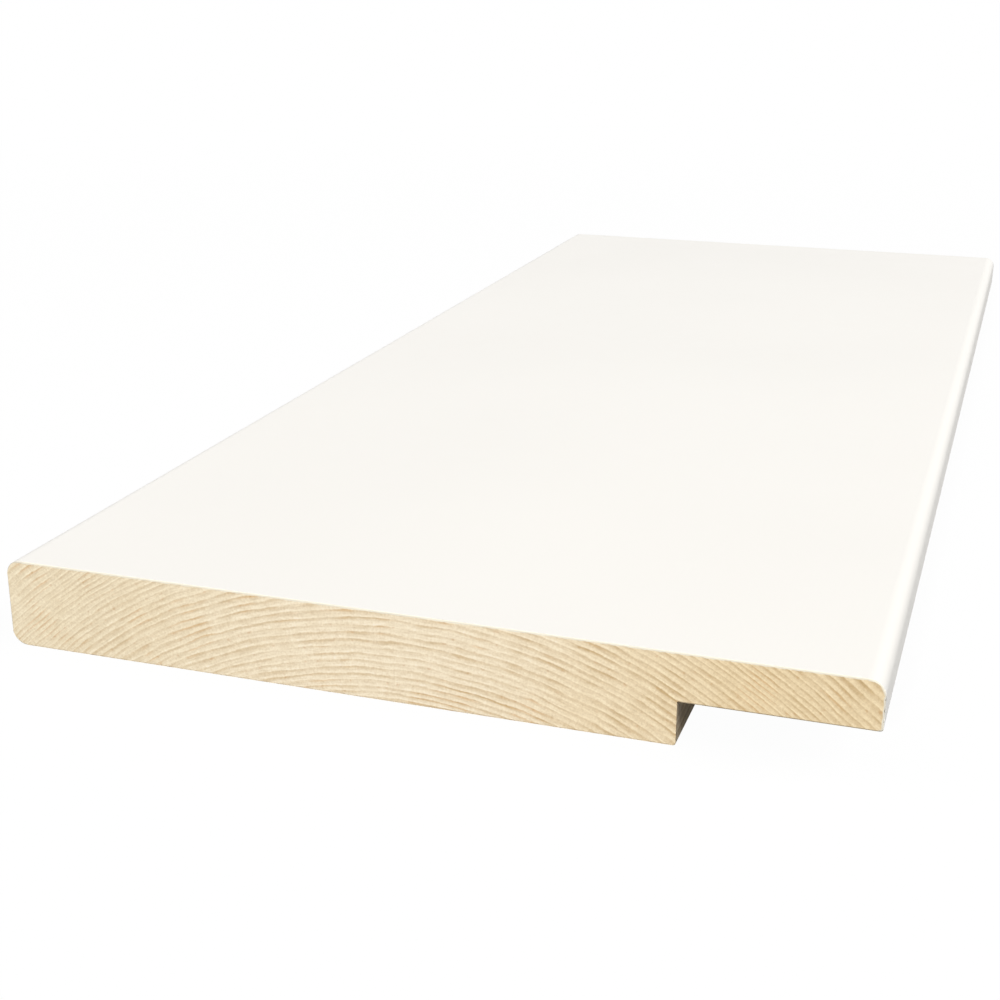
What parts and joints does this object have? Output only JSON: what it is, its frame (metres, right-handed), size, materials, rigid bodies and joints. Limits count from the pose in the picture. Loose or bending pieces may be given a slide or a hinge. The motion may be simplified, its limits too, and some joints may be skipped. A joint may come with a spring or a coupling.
{
  "type": "door lining board",
  "caption": "Short length of white-painted pine lining board with rounded long edges and a rebate under one edge that laps over a door frame.",
  "frame": {"origin": "on the back, under the middle of the board", "axes": "+X across the width towards the lip, +Y along the grain, +Z from the back to the painted face"},
  "size_m": [0.17, 0.4, 0.018],
  "materials": {
    "painted_pine": "solid pine, planed; satin white paint on the face and both long edges, bare wood on the back, the rebate and the sawn ends"
  },
  "bodies": {
    "root": {"lining_board": "painted_pine"}
  },
  "joints": []
}
